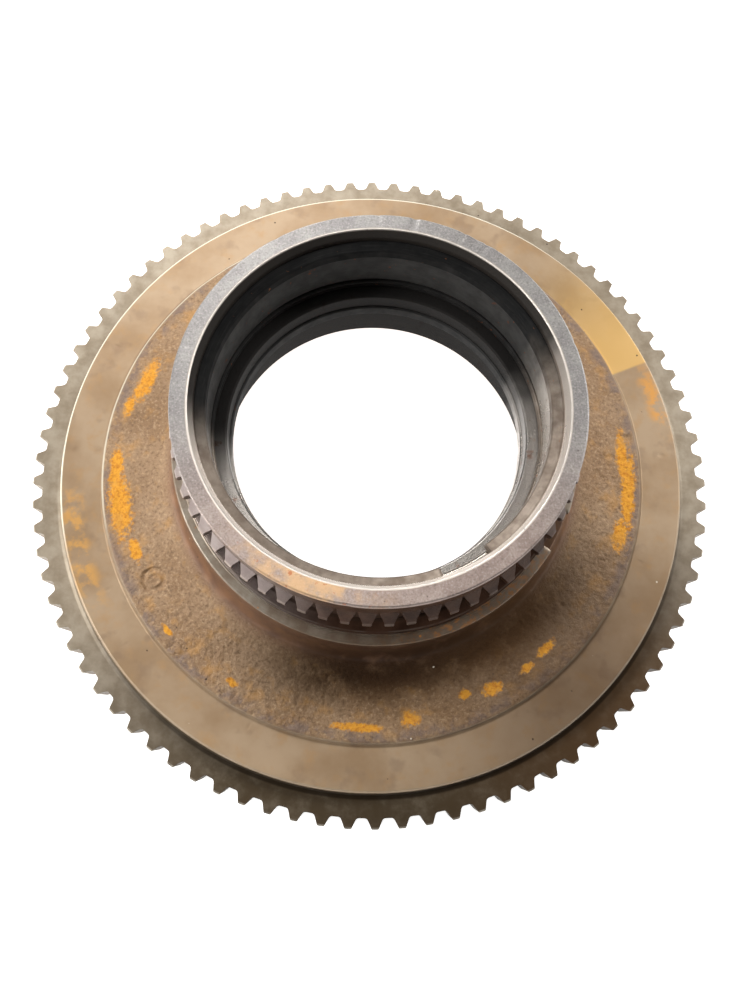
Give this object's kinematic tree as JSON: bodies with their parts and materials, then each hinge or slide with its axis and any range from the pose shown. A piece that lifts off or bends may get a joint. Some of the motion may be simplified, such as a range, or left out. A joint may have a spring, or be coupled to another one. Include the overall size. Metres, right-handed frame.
{
  "type": "planetary ring gear carrier",
  "caption": "Forged round web with a toothed rim and a tall open hub with coupling teeth, split rings and a lined, stepped bore.",
  "frame": {"origin": "on the axis, in the plane of the rim's underside", "axes": "+Z along the axis from the rim's underside towards the hub's collar"},
  "size_m": [0.2978, 0.2978, 0.0989],
  "materials": {
    "forged_steel": "oily forged steel, rough web with rust, machined rim and annulus",
    "machined_hub_steel": "matt mauve-grey machined steel",
    "stop_ring_steel": "dull grey steel with rust specks",
    "spring_steel": "bright spring steel",
    "ground_race_steel": "ground bluish steel, oily",
    "spacer_steel": "dull brown-grey steel",
    "bush_steel": "dark bluish steel, oily"
  },
  "bodies": {
    "carrier": {"ring_gear_carrier": "forged_steel", "coupling_hub": "machined_hub_steel", "bearing_race": "ground_race_steel", "race_spacer": "spacer_steel", "bore_bush": "bush_steel"},
    "stop_ring_body": {"stop_ring": "stop_ring_steel"},
    "snap_ring_body": {"snap_ring": "spring_steel"}
  },
  "joints": [
    {"name": "stop_ring_turn", "type": "hinge", "parent": "carrier", "child": "stop_ring_body", "pos_m": [0, 0, 0.0549], "axis": [0, 0, 1], "continuous": true},
    {"name": "snap_ring_turn", "type": "hinge", "parent": "carrier", "child": "snap_ring_body", "pos_m": [0, 0, 0.0904], "axis": [0, 0, 1], "continuous": true}
  ]
}
